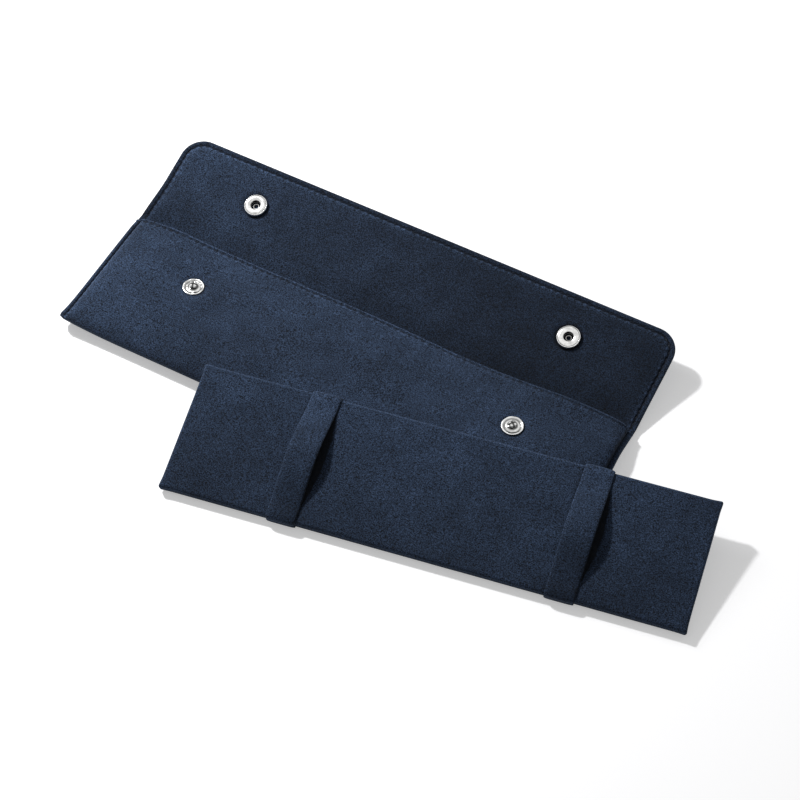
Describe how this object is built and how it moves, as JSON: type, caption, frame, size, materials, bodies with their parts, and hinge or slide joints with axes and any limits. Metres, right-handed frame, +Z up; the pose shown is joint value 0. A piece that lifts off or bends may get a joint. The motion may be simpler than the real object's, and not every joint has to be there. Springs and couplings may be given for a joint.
{
  "type": "jewellery snap pouch",
  "caption": "Padded microsuede jewellery pouch with a snap-down flap, lying open beside its strapped display pad.",
  "frame": {"origin": "middle of the flat back panel's outer face, which the pouch lies on", "axes": "+X along the pouch, +Y from the bottom fold towards the flap, +Z up off the surface it lies on"},
  "size_m": [0.2723, 0.149, 0.0183],
  "materials": {
    "suede": "navy microsuede, short matt nap",
    "suede_edge": "turned-in navy microsuede",
    "lining": "plain woven navy lining",
    "padding": "thin grey-white foam wadding",
    "board": "grey board",
    "chrome": "bright plated",
    "spring_steel": "spring wire"
  },
  "bodies": {
    "pocket": {"front_cover": "suede", "front_padding": "padding", "front_lining": "lining", "mouth_hem": "suede", "back_cover": "suede", "back_padding": "padding", "back_lining": "lining", "seam_allowance_left": "suede_edge", "seam_allowance_right": "suede_edge", "stud_left": "chrome", "stud_right": "chrome", "stud_eyelet_left": "chrome", "stud_eyelet_right": "chrome"},
    "flap": {"flap_facing": "suede", "flap_padding": "padding", "flap_cover": "suede", "flap_seam_allowance": "suede_edge", "snap_cap_left": "chrome", "snap_cap_right": "chrome", "snap_socket_left": "chrome", "snap_socket_right": "chrome", "socket_spring_left": "spring_steel", "socket_spring_right": "spring_steel"},
    "display_pad": {"pad_cover": "suede", "pad_foam": "padding", "pad_board": "board", "pad_backing": "suede_edge", "strap_left": "suede", "strap_right": "suede"}
  },
  "joints": [
    {"name": "flap_fold", "type": "hinge", "parent": "pocket", "child": "flap", "pos_m": [0, 0.0313, 0.00677], "axis": [1, 0, 0], "range_deg": [-13, 162]},
    {"name": "pad_slide", "type": "slide", "parent": "pocket", "child": "display_pad", "axis": [0.9992, 0.0401, 0], "range_m": [-0.0069, 0.0849]}
  ],
  "couplings": [
    {"joint": "pad_slide", "follows": "flap_fold", "m_per_rad": 0.03}
  ]
}
